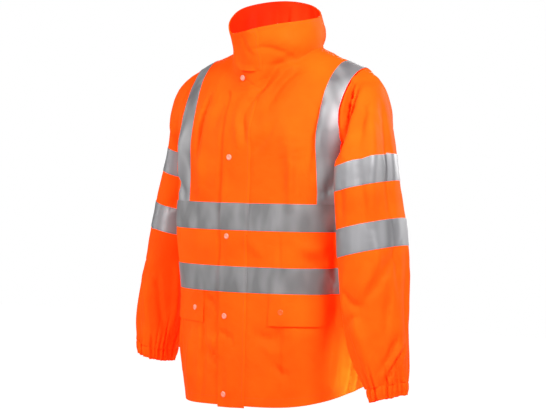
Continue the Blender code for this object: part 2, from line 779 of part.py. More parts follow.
def build_bands(fronts, back, flap, levels):
    for name, z in (("upper", UPPER_BAND_Z), ("lower", LOWER_BAND_Z)):
        rows = row_at(levels, z - TAPE_WIDTH / 2), row_at(levels, z + TAPE_WIDTH / 2)
        for side, spec in FRONTS.items():
            columns = front_stops(spec)[1], fronts[side][0].shape[1] - 1
            overlay(f"{name}_band_{side}_front", *fronts[side], rows, columns, TAPE, "tape")
        overlay(f"{name}_band_back", *back, rows, (0, back[0].shape[1] - 1), TAPE, "tape")
        lift = CLOTH + LAYER_GAP + FLAP_CLOTH
        overlay(f"{name}_band_storm_flap", *flap, rows, (0, flap[0].shape[1] - 1), TAPE, "tape", lift)


def build_braces(fronts, back, levels):
    """A brace runs up the front from the upper band, over the shoulder and down the back to the band."""
    first = row_at(levels, UPPER_BAND_Z + TAPE_WIDTH / 2)
    middle, reach = back[0].shape[1] // 2, len(BACK_STOPS) - 1
    for name, spec in FRONTS.items():
        column = len(front_stops(spec)[0]) - 1
        strips = []
        for part in (0, 1):
            before = fronts[name][part][first:, column : column + BRACE_COLUMNS + 1]
            columns = np.s_[middle + reach : middle + reach + BRACE_COLUMNS + 1]
            behind = back[part][first:, :: spec["side"]][:, columns]
            strips.append(np.concatenate((before, behind[-2::-1])))
        points = trimmed(strips[0], ("bottom", "top", "inner", "outer"), OVERLAY_TRIM)
        wall(f"{name}_brace", points, strips[1], TAPE, "tape", start=CLOTH + LAYER_GAP)


def build_pocket_flaps(fronts, levels):
    top = LOWER_BAND_Z - TAPE_WIDTH / 2
    rows = row_at(levels, top - POCKET_FLAP_DROP), row_at(levels, top)
    for name, spec in FRONTS.items():
        columns = front_stops(spec)[2], fronts[name][0].shape[1] - 2
        overlay(f"{name}_pocket_flap", *fronts[name], rows, columns, FLAP_CLOTH, "orange")
        snap(f"{name}_pocket_snap", *fronts[name], spec["side"] * spec["pocket_snap"], POCKET_SNAP_Z)


def build_storm_flap(points, normals):
    wall("storm_flap", points, normals, FLAP_CLOTH, "orange", start=CLOTH + LAYER_GAP)
    for number, (x, z) in enumerate(STORM_SNAPS, 1):
        snap(f"storm_snap_{number}", points, normals, x, z)


def build_sleeves(fronts, back):
    for name, spec in SLEEVES.items():
        ring, ring_normals = armhole_ring(fronts[name], back, spec["side"])
        points, normals = sleeve_grid(spec, ring, ring_normals)
        wall(f"{name}_sleeve", points, normals, CLOTH, "orange", closed=True)
        heights = sleeve_heights(spec)
        for band, z in spec["bands"].items():
            edges = (z + TAPE_WIDTH / 2, z - TAPE_WIDTH / 2)
            first, last = (CAP_ROWS + int(np.argmin(np.abs(heights - edge))) for edge in edges)
            tape, out = points[first : last + 1], normals[first : last + 1]
            node = f"{name}_sleeve_{band}_band"
            wall(node, tape, out, TAPE, "tape", start=CLOTH + LAYER_GAP, closed=True)
        wall(f"{name}_cuff", *cuff_grid(spec), CLOTH, "orange", closed=True)


def main():
    for old in list(bpy.data.objects):
        bpy.data.objects.remove(old)
    fronts, back, levels, neck_row = build_body()
    collar = collar_grid(fronts, neck_row, back)
    wall("collar", *collar, COLLAR_CLOTH, "orange", start=CLOTH - COLLAR_CLOTH)
    flap = storm_flap_grid(fronts, neck_row, collar)
    build_storm_flap(*flap)
    build_bands(fronts, back, flap, levels)
    build_braces(fronts, back, levels)
    build_pocket_flaps(fronts, levels)
    build_sleeves(fronts, back)


main()
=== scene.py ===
import math

import bpy
import numpy as np
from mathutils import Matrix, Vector, noise
from mathutils.kdtree import KDTree


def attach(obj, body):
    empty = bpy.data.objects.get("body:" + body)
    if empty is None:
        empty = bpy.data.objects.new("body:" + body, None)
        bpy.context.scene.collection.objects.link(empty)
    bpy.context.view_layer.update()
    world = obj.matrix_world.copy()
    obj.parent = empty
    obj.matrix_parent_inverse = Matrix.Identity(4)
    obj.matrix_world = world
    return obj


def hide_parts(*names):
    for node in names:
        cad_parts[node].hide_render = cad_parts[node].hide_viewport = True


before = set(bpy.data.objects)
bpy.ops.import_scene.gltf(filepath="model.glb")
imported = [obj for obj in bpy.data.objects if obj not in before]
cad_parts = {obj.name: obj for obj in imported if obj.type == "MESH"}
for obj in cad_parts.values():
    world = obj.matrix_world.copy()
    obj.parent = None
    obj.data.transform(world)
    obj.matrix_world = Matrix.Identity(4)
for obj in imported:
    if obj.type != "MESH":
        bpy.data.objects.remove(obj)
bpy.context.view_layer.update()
bpy.ops.object.select_all(action="DESELECT")

cloth = {
    "thickness": 0.0012,
    "collarThickness": 0.0030,
    "flapThickness": 0.0015,
    "sharp": 60,
    "rimEdge": 1.2,  # an edge that is shorter than this many thicknesses belongs to a rim
    "weldGap": 0.0022,  # more than the seam gap between two solids
    "levels": 3,
    "seamDip": 0.0004,
    "flapDip": 0.0003,
    "lift": 0.0004,
}
tape = {"lift": 0.0002, "thickness": 0.0007, "dip": 0.0002}

panels = ["left_front", "right_front", "back", "left_sleeve", "right_sleeve", "collar"]
flapTape = ["upper_band_storm_flap", "lower_band_storm_flap"]
tapeNodes = [name for name in sorted(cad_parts) if "band" in name or "brace" in name]
tapeNodes = [name for name in tapeNodes if name not in flapTape]
flaps = ["left_pocket_flap", "right_pocket_flap", "storm_flap"]
within = {"onPanel": 0.0012, "stormFlap": 0.0046, "onStormFlap": 0.0027}
layers = [  # what lies on the panels and on the storm flap, with its distance from the panel's face
    {node: within["stormFlap" if node == "storm_flap" else "onPanel"] for node in tapeNodes + flaps},
    {node: within["onStormFlap"] for node in flapTape},
]
markBase = 64  # a face's mark holds its panel and what lies on it, as digits on this base


def tableOf(columns, *rows):  # a short table as one array for each named column
    return dict(zip(columns.split(), np.array(rows, float).T))


def foldTable(*rows):  # three places on each fold, its width and depth in millimetres, and its lean
    folds = tableOf("x0 y0 z0 x1 y1 z1 x2 y2 z2 width depth lean", *rows)
    return {column: values if column == "lean" else values / 1000 for column, values in folds.items()}


def unit(vectors):
    return vectors / np.maximum(np.linalg.norm(vectors, axis=-1, keepdims=True), 1e-12)


def ease(start, end, at):  # 0 before start, 1 after end, smooth between
    t = np.clip((at - start) / (end - start), 0, 1)
    return t * t * (3 - 2 * t)


def readOf(items, field, width, kind=float):  # one field of every item, a row for each
    values = np.empty(len(items) * width, kind)
    items.foreach_get(field, values)
    return values.reshape(-1, width)


def treeOf(points):
    tree = KDTree(len(points))
    for i, point in enumerate(points):
        tree.insert(point, i)
    tree.balance()
    return tree


def gapsTo(tree, points):  # how far each point is from the nearest in a tree
    return np.array([tree.find(point)[2] for point in points])


def solidOf(node):  # welded points and triangles of a CAD node
    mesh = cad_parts[node].data
    points = readOf(mesh.vertices, "co", 3).round(5)
    points, where = np.unique(points, axis=0, return_inverse=True)
    return points, where.ravel()[readOf(mesh.polygons, "vertices", 3, int)]


def outerSkin(node, thickness):  # the outside of a wall, without its rims and its inside
    points, faces = solidOf(node)
    sides = np.linalg.norm(points[faces] - points[np.roll(faces, 1, axis=1)], axis=2)
    faces = faces[sides.min(axis=1) > thickness * cloth["rimEdge"]]
    island, before = np.arange(len(points)), None
    while not np.array_equal(island, before):
        before = island.copy()
        np.minimum.at(island, faces, island[faces].min(axis=1)[:, None])
    a, b, c = (points[faces[:, i]] for i in range(3))
    outward = np.sum(np.cross(b - a, c - a)[:, :2] * (a + b + c)[:, :2], axis=1)
    marks = island[faces[:, 0]]
    best = max(set(marks.tolist()), key=lambda mark: outward[marks == mark].sum())
    return points, faces[marks == best]


def rimEdges(faces):  # the boundary edges of a set of faces, each with its direction
    edges = np.concatenate([faces[:, [i, (i + 1) % faces.shape[1]]] for i in range(faces.shape[1])])
    keys = edges.min(axis=1).astype(np.int64) * (edges.max() + 1) + edges.max(axis=1)
    _, first, counts = np.unique(keys, return_index=True, return_counts=True)
    return edges[first[counts == 1]]


def matchSeam(points, faces, others):  # gives a skin a corner wherever the next skin has one on the seam
    points, faces = list(points), faces.tolist()
    for start, end in rimEdges(np.array(faces)).tolist():
        line = points[end] - points[start]
        share = (others - points[start]) @ line / (line @ line)
        away = np.linalg.norm(others - points[start] - share[:, None] * line, axis=1)
        inside = (share * (1 - share) > 0) & (away < cloth["weldGap"])
        inside &= np.minimum(share, 1 - share) * np.linalg.norm(line) > cloth["weldGap"]
        corner = next(face for face in faces if start in face and end in face)
        third = next(at for at in corner if at not in (start, end))
        last = start
        for place in sorted(set(share[inside].round(2))):
            points.append(points[start] + line * place)
            faces.append([last, len(points) - 1, third])
            last = len(points) - 1
        if last != start:
            faces.remove(corner)
            faces.append([last, end, third])
    return np.array(points), np.array(faces)


def meshFrom(name, points, faces):
    mesh = bpy.data.meshes.new(name)
    mesh.from_pydata(points, [], faces)
    made = bpy.data.objects.new(name, mesh)
    bpy.context.scene.collection.objects.link(made)
    return made


def onlySelect(*chosen):
    bpy.ops.object.select_all(action="DESELECT")
    for one in chosen:
        one.select_set(True)
    bpy.context.view_layer.objects.active = chosen[0]


def layerOn(points, faces, layer):  # the number of the node that lies over each face, or 0
    over = np.zeros(len(faces), np.int32)
    for number, (node, reach) in enumerate(layer.items()):
        near = gapsTo(treeOf(solidOf(node)[0]), points) < reach
        over[near[faces].all(axis=1)] = number + 1
    return over


def evenRing(skin, longest):  # takes the regular waves out of a ring of short edges
    points = readOf(skin.vertices, "co", 3)
    edges = readOf(skin.edges, "vertices", 2, int)
    edges = edges[np.linalg.norm(points[edges[:, 0]] - points[edges[:, 1]], axis=1) < longest]
    total, count = points.copy(), np.ones(len(points))
    for a, b in (edges.T, edges.T[::-1]):
        np.add.at(total, a, points[b])
        np.add.at(count, a, 1)
    skin.vertices.foreach_set("co", (total / count[:, None]).ravel())


def fineSkin(nodes, layers, longest=0.0):  # one smooth sheet through several solids' skins
    joined = []
    skins = {node: outerSkin(node, thickness) for node, thickness in nodes.items()}
    for number, (node, (points, faces)) in enumerate(skins.items()):
        others = [places[np.unique(used)] for other, (places, used) in skins.items() if other != node]
        if others:
            points, faces = matchSeam(points, faces, np.concatenate(others))
        code = np.full(len(faces), number * markBase**2, np.int32)
        for step, layer in zip((markBase, 1), layers):
            code += layerOn(points, faces, layer) * step
        part = meshFrom(node + "Skin", points.tolist(), faces.tolist())
        part.data.attributes.new("mark", "INT", "FACE").data.foreach_set("value", code)
        joined.append(part)
    onlySelect(*joined)
    if len(joined) > 1:
        bpy.ops.object.join()
    skin = joined[0]
    bpy.ops.object.mode_set(mode="EDIT")
    bpy.ops.mesh.select_all(action="SELECT")
    bpy.ops.mesh.delete_loose()
    bpy.ops.mesh.select_all(action="SELECT")
    bpy.ops.mesh.tris_convert_to_quads(face_threshold=math.pi, shape_threshold=math.pi)
    bpy.ops.mesh.select_all(action="SELECT")
    bpy.ops.mesh.remove_doubles(threshold=cloth["weldGap"])
    bpy.ops.object.mode_set(mode="OBJECT")
    evenRing(skin.data, longest)
    smooth = skin.modifiers.new("Subdivision", "SUBSURF")
    smooth.levels = smooth.render_levels = cloth["levels"]
    smooth.boundary_smooth = "PRESERVE_CORNERS"
    bpy.ops.object.modifier_apply(modifier="Subdivision")
    points = readOf(skin.data.vertices, "co", 3)
    quads = readOf(skin.data.polygons, "vertices", 4, int)
    marks = readOf(skin.data.attributes["mark"].data, "value", 1, np.int32).ravel()
    bpy.data.objects.remove(skin)
    return {
        "points": points,
        "quads": quads,
        "node": marks // markBase**2,
        "over": marks // markBase % markBase - 1,
        "top": marks % markBase - 1,
    }


def normalsOf(points, quads):
    a, b, c, d = (points[quads[:, i]] for i in range(4))
    facing = np.cross(c - a, d - b)
    normals = np.zeros_like(points)
    for i in range(4):
        np.add.at(normals, quads[:, i], facing)
    return unit(normals)


foldShape = {"gain": 1.7, "steps": 15, "reach": 3.2, "ends": 0.07, "taper": 0.8}


def foldHeights(points, normals, folds):  # how far each fold moves each point out or in
    heights = np.zeros(len(points))
    tree = treeOf(points)
    share = np.linspace(0, 1, foldShape["steps"])[:, None]
    for row in zip(*folds.values()):
        start, middle, end = (np.array(row[i : i + 3]) for i in (0, 3, 6))
        width, depth, lean = row[9:12]
        bend = 2 * middle - (start + end) / 2
        path = start * (1 - share) ** 2 + bend * 2 * share * (1 - share) + end * share**2
        path = np.array([tree.find(place)[0][:] for place in path])
        reach = width * foldShape["reach"]
        near = np.all((points > path.min(axis=0) - reach) & (points < path.max(axis=0) + reach), axis=1)
        spots = points[near]
        nearest, alongPath, side = np.full(len(spots), np.inf), np.zeros(len(spots)), np.zeros(len(spots))
        for i in range(len(path) - 1):
            line = path[i + 1] - path[i]
            t = np.clip((spots - path[i]) @ line / max(line @ line, 1e-12), 0, 1)
            away = spots - path[i] - t[:, None] * line
            distance = np.linalg.norm(away, axis=1)
            turned = np.sum(np.cross(line, normals[near]) * away, axis=1)
            closer = distance < nearest
            nearest[closer] = distance[closer]
            alongPath[closer] = (i + t[closer]) / (len(path) - 1)
            side[closer] = np.sign(turned[closer])
        own = width * (1 + lean * side)
        inner = alongPath * (1 - 2 * foldShape["ends"]) + foldShape["ends"]
        taper = np.sin(np.pi * inner) ** foldShape["taper"]
        heights[near] += depth * foldShape["gain"] * np.exp(-((nearest / own) ** 2)) * taper
    return heights


bodyFolds = foldTable(
    # from the neck, down and across the chest
    (81, -58, -25, 46, -87, -46, 11, -105, -104, 9, -4.5, 0.3),
    (58, -82, -58, 20, -93, -83, -6, -121, -133, 9, -3.5, 0.2),
    (104, -66, -46, 66, -81, -70, 47, -110, -130, 9, -3, -0.2),
    (89, -55, -33, 61, -80, -54, 29, -105, -110, 10, 4, 0),
    (-19, -107, -106, 10, -100, -97, 26, -92, -87, 10, 3, 0),
    (-4, -121, -133, -5, -126, -159, 9, -132, -190, 8, -3, 0.2),
    (-22, -120, -128, -17, -129, -170, -13, -133, -211, 10, 2.5, 0),
    (12, -120, -140, 16, -129, -170, 13, -133, -200, 10, 2.5, 0),
    (71, -122, -153, 55, -128, -183, 31, -130, -211, 9, -2.8, 0.3),
    (85, -110, -150, 105, -118, -190, 112, -124, -235, 20, 3.5, 0),
    (113, -123, -205, 116, -126, -267, 117, -129, -322, 10, 5.5, 0.2),
    # beside the braces
    (159, -85, -102, 156, -105, -153, 147, -113, -250, 12, -5.8, 0.3),
    (-116, -92, -98, -131, -104, -149, -134, -112, -220, 7, -6.2, -0.3),
    (-66, -106, -114, -78, -114, -133, -86, -119, -175, 14, -2.2, 0),
    (-120, -100, -200, -118, -110, -260, -112, -120, -318, 16, 3.5, 0),
    # along both edges of the storm flap
    (17.5, -118, -120, 18, -139, -400, 18, -151, -730, 4.2, -0.9, 0),
    (-56, -108, -120, -56, -138, -400, -56, -148, -735, 6, -1.2, 0),
    # between the bands
    (137, -124, -406, 166, -113, -410, 194, -96, -406, 12, 4, 0.2),
    (143, -123, -429, 167, -112, -440, 191, -97, -428, 10, -3, -0.2),
    (94, -134, -387, 93, -136, -413, 93, -136, -450, 5, -1.6, 0.4),
    (-55, -139, -385, -48, -140, -410, -52, -141, -448, 10, -1.8, 0),
    (10, -140, -385, 30, -140, -405, 60, -139, -420, 12, 2.2, 0),
    (199, -90, -360, 201, -88, -420, 200, -86, -480, 12, -8, 0.2),
    # under the lower band, and the skirt
    (-92, -140, -515, -73, -142, -524, -52, -145, -542, 7, -3, 0.3),
    (-100, -141, -622, -73, -145, -636, -44, -151, -650, 7, -4.4, 0.3),
    (-52, -149, -580, -33, -150, -591, -15, -151, -600, 6, -3.4, 0.3),
    (-95, -141, -600, -72, -145, -612, -50, -149, -622, 9, 2.4, 0),
    (-109, -135, -568, -101, -138, -586, -102, -139, -612, 6, -2.4, 0.2),
    (37, -149, -584, 68, -145, -594, 97, -139, -583, 10, -3.2, 0.2),
    (59, -148, -610, 81, -145, -622, 106, -137, -620, 10, 2.6, 0),
    (80, -145, -648, 98, -140, -661, 116, -135, -668, 6, -3.4, 0.3),
    (-20, -151, -650, -22, -152, -690, -18, -154, -735, 13, 2.2, 0),
    (94, -141, -570, 95, -140, -617, 90, -143, -700, 10, -3, 0.2),
    (-101, -138, -580, -102, -140, -649, -104, -141, -728, 9, -3, -0.2),
    (-140, -130, -590, -146, -128, -650, -150, -124, -720, 14, 4, 0.2),
    (128, -130, -590, 134, -130, -650, 130, -130, -715, 18, 3.5, 0),
    # the collar, creased where it has been folded down
    (3, -108, -2, 52, -92, -3, 80, -61, -23, 6, -1.7, 0.4),
    (20, -100, -36, 61, -83, -36, 83, -56, -26, 6, -1.2, 0.3),
    (-18, -113, 26, -8, -107, -2, 3, -107, -16, 6, -2, 0.3),
    (45, -95, 14, 70, -78, 12, 89, -50, 2, 16, 3, 0),
    (-90, 30, 70, -86, 30, 30, -82, 28, 5, 10, -5, 0.2),
    (-55, 70, 90, -52, 68, 35, -48, 66, 10, 9, 6, 0),
    (-20, 84, 90, -22, 80, 40, -20, 78, 12, 7, -6.5, 0.2),
    (20, 84, 85, 22, 80, 35, 18, 78, 10, 9, 5.5, 0),
    (50, 72, 75, 50, 68, 32, 48, 66, 8, 8, -6, 0.2),
    (85, 35, 50, 83, 34, 25, 80, 32, 4, 11, 3, 0),
    # the wearer's left side, behind the sleeve
    (198, -88, -490, 200, -81, -559, 181, -89, -687, 18, -9.5, 0.2),
    (202, -73, -590, 197, -77, -652, 193, -77, -702, 6, 3.5, 0),
    (208, -60, -570, 211, -56, -637, 202, -61, -700, 7, 7.5, 0),
    (213, -48, -590, 213, -47, -640, 207, -50, -700, 5, -6, 0.2),
    (219, -36, -580, 216, -40, -640, 212, -40, -700, 6, 7, 0),
    (223, -18, -570, 220, -20, -630, 215, -24, -690, 8, -6, 0.2),
    (225, 2, -580, 221, 0, -630, 216, -4, -690, 10, 6, 0),
    # the wearer's right side
    (-212, -60, -560, -208, -62, -630, -200, -64, -720, 12, 5, 0.1),
    (-222, -25, -540, -219, -28, -620, -210, -30, -700, 10, -5, 0.2),
    (-222, 30, -570, -219, 30, -640, -210, 32, -715, 12, 5, 0),
    (-205, -70, -270, -190, -85, -285, -165, -98, -305, 10, -3.5, 0.2),
    (205, -70, -262, 190, -85, -282, 165, -98, -300, 10, -3.5, 0.2),
    # the back: from the neck and the armholes, and down the skirt
    (80, 70, -50, 40, 105, -90, -30, 120, -110, 16, -3.5, 0.2),
    (-80, 70, -50, -45, 105, -95, 10, 125, -130, 14, 3, 0),
    (190, 90, -150, 140, 130, -190, 80, 145, -230, 13, -4.5, 0.3),
    (195, 90, -200, 150, 130, -240, 100, 145, -300, 14, 4, 0),
    (-190, 90, -160, -145, 130, -210, -95, 145, -270, 12, -4.5, -0.3),
    (-198, 85, -210, -155, 130, -260, -110, 145, -315, 14, 3.5, 0),
    (0, 150, -190, 12, 155, -250, -6, 157, -310, 18, 3, 0),
    (120, 140, -385, 90, 150, -405, 50, 155, -440, 11, -3.2, 0.2),
    (-130, 140, -390, -100, 150, -415, -50, 155, -435, 11, 3.2, 0),
    (-10, 155, -520, 0, 155, -600, 8, 152, -700, 14, -4.5, 0.2),
    (45, 155, -540, 52, 152, -620, 50, 150, -710, 15, 4, 0.1),
    (-60, 155, -530, -68, 152, -610, -64, 150, -715, 13, 4.5, -0.1),
    (-115, 140, -560, -122, 138, -630, -120, 136, -720, 11, -4.5, 0.2),
    (105, 145, -520, 118, 138, -600, 116, 136, -690, 12, -4.5, -0.2),
    (160, 115, -560, 165, 110, -620, 160, 110, -690, 12, 5, 0),
    (-170, 110, -540, -175, 105, -620, -168, 105, -715, 12, 5, 0),
)
leftSleeveFolds = foldTable(
    # radiating from the shoulder point down the front of the sleeve head
    (206, -30, -60, 210, -67, -108, 212, -90, -162, 5, 4.5, 0),
    (211, -44, -75, 220, -77, -128, 229, -124, -215, 6.2, -15.5, 0.2),
    (219, -46, -80, 227, -84, -138, 234, -124, -205, 4, 4.5, 0),
    (230, -58, -94, 235, -92, -149, 241, -134, -216, 5.7, -14, 0.2),
    (236, -40, -78, 254, -95, -148, 263, -142, -220, 11, 5, 0),
    (262, -69, -110, 276, -99, -144, 288, -139, -205, 9, -3.4, 0.2),
    (252, -44, -88, 305, -122, -215, 321, -138, -345, 15, 6.2, 0),
    (284, -45, -108, 327, -88, -235, 345, -92, -370, 10, -5, 0.2),
    # down the front of the arm, under its bands
    (297, -148, -235, 305, -149, -299, 311, -148, -350, 9, -2.8, 0.2),
    (262, -163, -240, 260, -163, -299, 263, -163, -365, 10, -3, 0),
    (322, -140, -365, 330, -133, -425, 340, -126, -489, 12, 3.4, 0),
    (345, -90, -365, 349, -89, -423, 354, -93, -486, 10, -3.4, 0.2),
    # behind the sleeve head
    (222, 15, -60, 250, 40, -130, 262, 10, -220, 11, -5.5, 0.3),
    (245, 10, -65, 280, 20, -140, 295, -10, -220, 12, 4, 0),
    # the elbow and the forearm
    (348, -79, -398, 334, -130, -465, 303, -157, -520, 12, -4.2, 0.3),
    (328, -137, -420, 315, -149, -470, 290, -155, -520, 12, 3.5, 0),
    (261, -151, -548, 281, -156, -544, 303, -154, -532, 7, -3.2, 0.3),
    (348, -113, -480, 347, -119, -528, 346, -125, -576, 8, -3, 0.3),
    (271, -163, -440, 262, -155, -500, 262, -145, -560, 10, 3.2, 0),
    (255, -150, -480, 282, -158, -508, 310, -150, -520, 8, -3, 0.2),
    (285, -159, -530, 297, -155, -570, 318, -148, -625, 12, 4.2, 0.1),
    (262, -145, -540, 275, -150, -590, 300, -145, -640, 10, -3.5, 0.2),
    (349, -51, -430, 356, -60, -520, 362, -76, -600, 10, -3.5, 0.3),
    (350, -30, -300, 352, -35, -420, 354, -40, -540, 12, 3, 0),
    (364, -80, -605, 357, -112, -638, 342, -129, -676, 6, -6.2, 0.3),
    (359, -105, -584, 353, -118, -610, 336, -134, -650, 6, -3.8, 0.2),
    (364, -96, -600, 356, -114, -628, 345, -128, -660, 6, 3.5, 0),
    # the back of the arm
    (290, -15, -300, 300, -20, -380, 312, -22, -440, 13, -4, 0.2),
    (330, -30, -440, 300, -22, -480, 262, -45, -500, 11, -4.5, 0.3),
    (320, -30, -500, 318, -40, -570, 325, -50, -640, 11, 4.5, 0),
    (285, -35, -520, 290, -45, -590, 300, -55, -650, 10, -4, 0.2),
)
rightSleeveFolds = foldTable(
    (-215, -10, -52, -225, -30, -110, -245, -10, -200, 10, -5, 0.3),
    (-235, -4, -60, -262, 0, -120, -280, 6, -200, 13, 4, 0),
    (-255, 20, -70, -290, 30, -130, -312, 40, -200, 12, -3, 0.2),
    (-220, 50, -70, -240, 110, -130, -262, 150, -220, 10, -5.5, 0.3),
    (-240, 45, -70, -275, 100, -140, -300, 140, -220, 13, 4.5, 0),
    (-262, -5, -310, -270, -10, -330, -300, -4, -340, 10, -3, 0.2),
    (-350, 10, -430, -330, -30, -470, -290, -45, -510, 12, -4.5, 0.3),
    (-340, -10, -450, -318, -40, -490, -280, -40, -540, 11, 3.5, 0),
    (-300, -35, -480, -289, -42, -540, -276, -43, -600, 8, -4, 0.2),
    (-322, -50, -500, -312, -58, -560, -300, -62, -618, 9, 4, 0),
    (-345, -30, -500, -338, -45, -560, -326, -60, -620, 8, -4, 0.2),
    (-262, -10, -470, -262, -15, -530, -268, -25, -600, 9, 3.5, 0),
    (-330, 120, -300, -340, 120, -370, -345, 105, -440, 13, -4, 0.2),
    (-280, 130, -420, -310, 120, -460, -350, 80, -480, 11, -4.5, 0.3),
    (-300, 95, -490, -310, 85, -550, -320, 60, -610, 11, 4.5, 0),
)


def ripple(points, spacing, height, seed):  # slow unevenness, the same at each run
    shift = Vector((seed * 7.3, seed * 3.1, seed * 5.7))
    return np.array([noise.noise(Vector(point) / spacing + shift) for point in points.tolist()]) * height


cuffs = {
    "left": {"top": (0.310, -0.098, -0.560), "end": (0.325, -0.092, -0.680), "seed": 1},
    "right": {"top": (-0.304, -0.005, -0.540), "end": (-0.313, -0.019, -0.637), "seed": 4},
    "belowElbow": -0.5,
    "shortEdge": 0.008,
    "count": 24,
    "rise": 0.080,
    "depth": 0.0070,
    "shift": 0.42,  # how far a pleat leaves its even place, as a share of the space between two
    "slant": 1.8,
    "width": 0.21,
    "ragged": (0.016, 0.0026, 3),  # spacing, height and seed of the lower edge's unevenness
    "tuck": {"from": -0.006, "depth": 0.0016, "rise": 0.0022},  # the top goes up into the sleeve
    "mouth": {"low": -0.026, "even": -0.014, "straight": -0.013, "depth": 0.0025},
}


def cuffGathers(points, side):
    # pleats that run up a sleeve from its elastic, uneven in place, length and depth
    centreTop, centreEnd = np.array(cuffs[side]["top"]), np.array(cuffs[side]["end"])
    axis = centreEnd - centreTop
    share = np.clip((points[:, 2] - centreTop[2]) / axis[2], 0, 1)
    spokes = points - (centreTop + share[:, None] * axis)
    angle = np.arctan2(spokes[:, 1], spokes[:, 0])
    rising = points[:, 2] - centreEnd[2]
    heights = np.zeros(len(points))
    for number in range(cuffs["count"]):
        seed = number + cuffs[side]["seed"] * 0.37
        uneven = math.sin(seed * 12.9898) * cuffs["shift"]
        slant = rising * cuffs["slant"] * math.sin(seed * 5.1)
        place = 2 * math.pi * (number + uneven) / cuffs["count"] + slant
        reach = cuffs["rise"] * (0.35 + 0.65 * abs(math.sin(seed * 4.7 + 1)))
        turn = np.angle(np.exp(1j * (angle - place)))
        width = 2 * math.pi / cuffs["count"] * (cuffs["width"] + 0.07 * math.sin(seed * 2.3))
        depth = cuffs["depth"] * (0.65 + 0.35 * math.cos(seed * 3.7))
        fade = 1 - ease(0, reach, rising)
        heights -= depth * np.exp(-((turn / width) ** 2)) * fade
    return heights


neck = {
    "middle": (0.0, -0.105, -0.060),
    "reach": (0.110, 0.070, 0.056),
    "rounds": 160,
    "step": 0.5,
    "least": 0.01,  # points with less weight stay
}


def relaxed(points, quads, weights):  # evens out the cloth where weights are above 0
    some = np.where(weights > neck["least"])[0]
    number = np.full(len(points), -1)
    edges = np.concatenate([quads[:, [i, (i + 1) % 4]] for i in range(4)])
    edges = np.unique(np.sort(edges, axis=1), axis=0)
    edges = edges[(weights[edges] > neck["least"]).any(axis=1)]
    nodes = np.unique(edges)
    number[nodes] = np.arange(len(nodes))
    a, b = number[edges].T
    moved, step = points[nodes].copy(), weights[nodes][:, None] * neck["step"]
    count = np.bincount(number[edges].ravel(), minlength=len(nodes))[:, None]
    for _ in range(neck["rounds"]):
        total = [np.bincount(a, at[b], len(nodes)) + np.bincount(b, at[a], len(nodes)) for at in moved.T]
        moved += (np.transpose(total) / count - moved) * step
    points = points.copy()
    points[some] = moved[number[some]]
    return points


thicknesses = {node: cloth["collarThickness" if node == "collar" else "thickness"] for node in panels}
body = fineSkin(thicknesses, layers)
fromNeck = np.linalg.norm((body["points"] - neck["middle"]) / neck["reach"], axis=1)
body["points"] = relaxed(body["points"], body["quads"], 1 - ease(0.5, 1.0, fromNeck))
print("body skin", len(body["quads"]), "quads")
ripples = [(0.055, 0.0016, 1), (0.022, 0.0005, 2)]  # spacing, height and seed of slow unevenness


def shaped(skin, groups, gathers):  # moves the skin out and in by its folds
    points, quads = skin["points"], skin["quads"]
    normals = normalsOf(points, quads)
    heights = np.zeros(len(points))
    for chosen, folds in groups:
        used = np.unique(quads[chosen])
        heights[used] = foldHeights(points[used], normals[used], folds)
    for chosen, side in gathers:
        used = np.unique(quads[chosen])
        heights[used] += cuffGathers(points[used], side)
    heights += sum(ripple(points, *one) for one in ripples)
    skin["points"] = points + normals * heights[:, None]
    skin["normals"] = normalsOf(skin["points"], quads)


onLeft, onRight = (body["node"] == panels.index(side + "_sleeve") for side in ("left", "right"))
onBody = ~(onLeft | onRight)
folded = [(onBody, bodyFolds), (onLeft, leftSleeveFolds), (onRight, rightSleeveFolds)]
shaped(body, folded, [(onLeft, "left"), (onRight, "right")])
print("body folds")


def rimChains(quads):  # the boundary as closed chains of points, in order
    following = dict(rimEdges(quads).tolist())
    chains = []
    while following:
        start, at = following.popitem()
        chain = [start]
        while at in following:
            chain.append(at)
            at = following.pop(at)
        chains.append(chain)
    return chains


def nowhere(points):
    return np.zeros(len(points))


def shell(name, skin, chosen, start, thickness, material, dip=0.0, lowered=nowhere, raised=nowhere):
    # a piece of cloth is a closed shell: its inside, its outside, and the rims between
    quads = skin["quads"][chosen]
    used, corners = np.unique(quads, return_inverse=True)
    corners = corners.reshape(-1, 4)
    points, normals = skin["points"][used], skin["normals"][used]
    rims = rimEdges(corners)
    outer = np.full(len(points), start + thickness)
    outer[np.unique(rims)] -= dip
    outer -= lowered(points)
    count = len(points)
    points = points + normals * raised(points)[:, None]
    inside, outside = points + normals * start, points + normals * outer[:, None]
    walls = np.stack((rims[:, 0], rims[:, 1], rims[:, 1] + count, rims[:, 0] + count), axis=1)
    faces = np.concatenate((corners + count, corners[:, ::-1], walls))
    made = meshFrom(name, np.concatenate((inside, outside)).tolist(), faces.tolist())
    made.data.polygons.foreach_set("use_smooth", np.ones(len(faces), bool))
    made.data.set_sharp_from_angle(angle=math.radians(cloth["sharp"]))
    made.data.materials.append(material)
    if material is orange:  # the inside faces, the coated side, take a darker and redder copy of the orange: painted shade, as cloth seen from within lies in shade
        made.data.materials.append(shadedInside)
        slots = np.zeros(len(faces), np.int32)
        slots[len(corners) : 2 * len(corners)] = 1
        made.data.polygons.foreach_set("material_index", slots)
    mapCloth(made)
    return made


